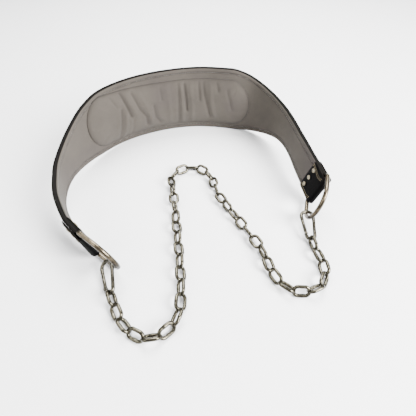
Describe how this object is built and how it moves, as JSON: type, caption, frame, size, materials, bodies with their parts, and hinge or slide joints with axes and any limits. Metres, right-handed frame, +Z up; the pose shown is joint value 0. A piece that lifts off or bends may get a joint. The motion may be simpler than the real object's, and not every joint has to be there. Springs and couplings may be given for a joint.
{
  "type": "dip belt",
  "caption": "Wide padded leather dip belt with riveted end loops, D-rings, sprung snap hooks and a loose steel chain that carries the weight.",
  "frame": {"origin": "middle of the footprint, on the floor that the belt stands on", "axes": "+Z up; +Y towards the broad back of the belt, whose open side and chain lie towards -Y; +X towards the wearer's right-hand end as seen from the chain's side"},
  "size_m": [0.4834, 0.5312, 0.1443],
  "materials": {
    "black_leather": "matte",
    "grey_suede": "suede",
    "nickel_steel": "satin nickel plating",
    "rivet_brass": "satin"
  },
  "bodies": {
    "belt": {"belt_leather": "black_leather", "lining": "grey_suede", "lumbar_pad": "grey_suede", "left_loop": "black_leather", "left_rivet_1": "rivet_brass", "left_rivet_2": "rivet_brass", "left_rivet_3": "rivet_brass", "left_ring": "nickel_steel", "left_hook": "nickel_steel", "right_loop": "black_leather", "right_rivet_1": "rivet_brass", "right_rivet_2": "rivet_brass", "right_rivet_3": "rivet_brass", "right_ring": "nickel_steel", "right_hook": "nickel_steel", "link_01": "nickel_steel", "link_02": "nickel_steel", "link_03": "nickel_steel", "link_04": "nickel_steel", "link_05": "nickel_steel", "link_06": "nickel_steel", "link_07": "nickel_steel", "link_08": "nickel_steel", "link_09": "nickel_steel", "link_10": "nickel_steel", "link_11": "nickel_steel", "link_12": "nickel_steel", "link_13": "nickel_steel", "link_14": "nickel_steel", "link_15": "nickel_steel", "link_16": "nickel_steel", "link_17": "nickel_steel", "link_18": "nickel_steel", "link_19": "nickel_steel", "link_20": "nickel_steel", "link_21": "nickel_steel", "link_22": "nickel_steel", "link_23": "nickel_steel", "link_24": "nickel_steel", "link_25": "nickel_steel", "link_26": "nickel_steel", "link_27": "nickel_steel", "link_28": "nickel_steel", "link_29": "nickel_steel", "link_30": "nickel_steel", "link_31": "nickel_steel", "link_32": "nickel_steel", "link_33": "nickel_steel", "link_34": "nickel_steel", "link_35": "nickel_steel", "link_36": "nickel_steel", "link_37": "nickel_steel", "link_38": "nickel_steel", "link_39": "nickel_steel", "link_40": "nickel_steel", "link_41": "nickel_steel", "link_42": "nickel_steel"},
    "left_gate_arm": {"left_gate": "nickel_steel"},
    "right_gate_arm": {"right_gate": "nickel_steel"}
  },
  "joints": [
    {"name": "left_gate_hinge", "type": "hinge", "parent": "belt", "child": "left_gate_arm", "pos_m": [-0.1262, -0.1864, 0.0073], "axis": [0.4897, 0.2348, -0.8397], "range_deg": [0, 24], "stiffness_Nm_per_rad": 0.05, "springref_deg": -5.73},
    {"name": "right_gate_hinge", "type": "hinge", "parent": "belt", "child": "right_gate_arm", "pos_m": [0.1967, -0.0861, 0.0117], "axis": [0.019, 0.1808, -0.9833], "range_deg": [0, 24], "stiffness_Nm_per_rad": 0.05, "springref_deg": -5.73}
  ]
}
